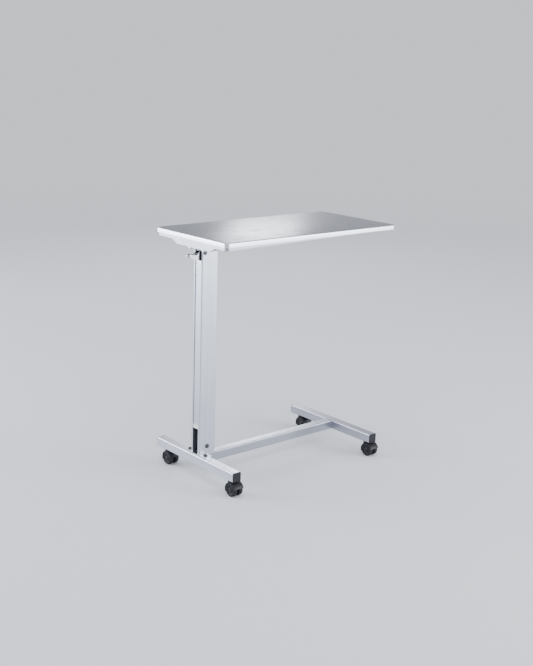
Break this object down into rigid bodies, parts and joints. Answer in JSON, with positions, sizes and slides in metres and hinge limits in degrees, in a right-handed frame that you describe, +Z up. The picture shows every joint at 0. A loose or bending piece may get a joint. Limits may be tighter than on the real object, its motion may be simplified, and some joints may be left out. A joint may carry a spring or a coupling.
{
  "type": "overbed table",
  "caption": "Overbed table: a flat stainless top held at one end by a gas-spring column with a lift lever, on an H-shaped base with swivel casters.",
  "frame": {"origin": "on the floor under the middle of the object's box, with the top at its lowest setting", "axes": "+X along the top from the column towards the free end, +Y across the top from front to back, +Z up"},
  "size_m": [0.814, 0.4631, 0.882],
  "materials": {
    "stainless_top": "satin",
    "stainless": "satin",
    "zinc": "zinc plated",
    "chrome": "polished",
    "bolt_dark": "dark plated",
    "spring_black": "semi-gloss",
    "cap_black": "fine grain",
    "hood_black": "fine grain",
    "wheel_grey": "matt",
    "nylon_black": "smooth",
    "nylon_white": "smooth"
  },
  "bodies": {
    "base": {"outer_column": "stainless", "column_foot_plate": "stainless", "foot_bolts": "bolt_dark", "foot_nuts": "bolt_dark", "upper_guide": "nylon_white", "guide_screws": "bolt_dark", "spring_post": "spring_black", "spring_cylinder": "spring_black", "spring_gland": "zinc", "anchor_bolt": "bolt_dark", "anchor_nut": "bolt_dark", "foot_left": "stainless", "foot_right": "stainless", "base_rail": "stainless", "end_cap_left_front": "cap_black", "end_cap_left_back": "cap_black", "end_cap_right_front": "cap_black", "end_cap_right_back": "cap_black", "caster_left_front_socket": "nylon_black", "caster_left_back_socket": "nylon_black", "caster_right_front_socket": "nylon_black", "caster_right_back_socket": "nylon_black"},
    "lift": {"table_top": "stainless_top", "support_pan": "stainless", "support_arm": "stainless", "stiffener_rib_front": "zinc", "stiffener_rib_back": "zinc", "head_plate": "stainless", "arm_nut_plate": "zinc", "head_bolts": "zinc", "mast_tube": "stainless", "lower_guide": "nylon_white", "spring_bracket": "zinc", "spring_rod": "chrome", "rod_nut": "zinc", "lever_bezel": "cap_black", "pivot_pin": "zinc", "pivot_spacers": "nylon_black"},
    "lever": {"release_lever": "stainless"},
    "pin": {"release_pin": "chrome"},
    "caster_left_front": {"caster_left_front_stem": "zinc", "caster_left_front_hood": "hood_black", "caster_left_front_axle": "zinc"},
    "caster_left_front_wheel_a": {"caster_left_front_wheel_a": "wheel_grey"},
    "caster_left_front_wheel_b": {"caster_left_front_wheel_b": "wheel_grey"},
    "caster_left_back": {"caster_left_back_stem": "zinc", "caster_left_back_hood": "hood_black", "caster_left_back_axle": "zinc"},
    "caster_left_back_wheel_a": {"caster_left_back_wheel_a": "wheel_grey"},
    "caster_left_back_wheel_b": {"caster_left_back_wheel_b": "wheel_grey"},
    "caster_right_front": {"caster_right_front_stem": "zinc", "caster_right_front_hood": "hood_black", "caster_right_front_axle": "zinc"},
    "caster_right_front_wheel_a": {"caster_right_front_wheel_a": "wheel_grey"},
    "caster_right_front_wheel_b": {"caster_right_front_wheel_b": "wheel_grey"},
    "caster_right_back": {"caster_right_back_stem": "zinc", "caster_right_back_hood": "hood_black", "caster_right_back_axle": "zinc"},
    "caster_right_back_wheel_a": {"caster_right_back_wheel_a": "wheel_grey"},
    "caster_right_back_wheel_b": {"caster_right_back_wheel_b": "wheel_grey"}
  },
  "joints": [
    {"name": "mast_slide", "type": "slide", "parent": "base", "child": "lift", "axis": [0, 0, 1], "range_m": [0, 0.3]},
    {"name": "lever_pull", "type": "hinge", "parent": "lift", "child": "lever", "pos_m": [-0.341, 0, 0.822], "axis": [0, 1, 0], "range_deg": [0, 9], "stiffness_Nm_per_rad": 0.6, "springref_deg": -4.58},
    {"name": "pin_press", "type": "slide", "parent": "lift", "child": "pin", "axis": [0, 0, 1], "range_m": [-0.003, 0]},
    {"name": "left_front_swivel", "type": "hinge", "parent": "base", "child": "caster_left_front", "pos_m": [-0.345, -0.1875, 0.05], "axis": [0, 0, 1], "continuous": true},
    {"name": "left_front_wheel_a", "type": "hinge", "parent": "caster_left_front", "child": "caster_left_front_wheel_a", "pos_m": [-0.345, -0.2115, 0.024], "axis": [1, 0, 0], "continuous": true},
    {"name": "left_front_wheel_b", "type": "hinge", "parent": "caster_left_front", "child": "caster_left_front_wheel_b", "pos_m": [-0.345, -0.2115, 0.024], "axis": [1, 0, 0], "continuous": true},
    {"name": "left_back_swivel", "type": "hinge", "parent": "base", "child": "caster_left_back", "pos_m": [-0.345, 0.1875, 0.05], "axis": [0, 0, 1], "continuous": true},
    {"name": "left_back_wheel_a", "type": "hinge", "parent": "caster_left_back", "child": "caster_left_back_wheel_a", "pos_m": [-0.345, 0.1635, 0.024], "axis": [1, 0, 0], "continuous": true},
    {"name": "left_back_wheel_b", "type": "hinge", "parent": "caster_left_back", "child": "caster_left_back_wheel_b", "pos_m": [-0.345, 0.1635, 0.024], "axis": [1, 0, 0], "continuous": true},
    {"name": "right_front_swivel", "type": "hinge", "parent": "base", "child": "caster_right_front", "pos_m": [0.32, -0.1875, 0.05], "axis": [0, 0, 1], "continuous": true},
    {"name": "right_front_wheel_a", "type": "hinge", "parent": "caster_right_front", "child": "caster_right_front_wheel_a", "pos_m": [0.32, -0.2115, 0.024], "axis": [1, 0, 0], "continuous": true},
    {"name": "right_front_wheel_b", "type": "hinge", "parent": "caster_right_front", "child": "caster_right_front_wheel_b", "pos_m": [0.32, -0.2115, 0.024], "axis": [1, 0, 0], "continuous": true},
    {"name": "right_back_swivel", "type": "hinge", "parent": "base", "child": "caster_right_back", "pos_m": [0.32, 0.1875, 0.05], "axis": [0, 0, 1], "continuous": true},
    {"name": "right_back_wheel_a", "type": "hinge", "parent": "caster_right_back", "child": "caster_right_back_wheel_a", "pos_m": [0.32, 0.1635, 0.024], "axis": [1, 0, 0], "continuous": true},
    {"name": "right_back_wheel_b", "type": "hinge", "parent": "caster_right_back", "child": "caster_right_back_wheel_b", "pos_m": [0.32, 0.1635, 0.024], "axis": [1, 0, 0], "continuous": true}
  ],
  "couplings": [
    {"joint": "pin_press", "follows": "lever_pull", "m_per_rad": -0.0191}
  ]
}
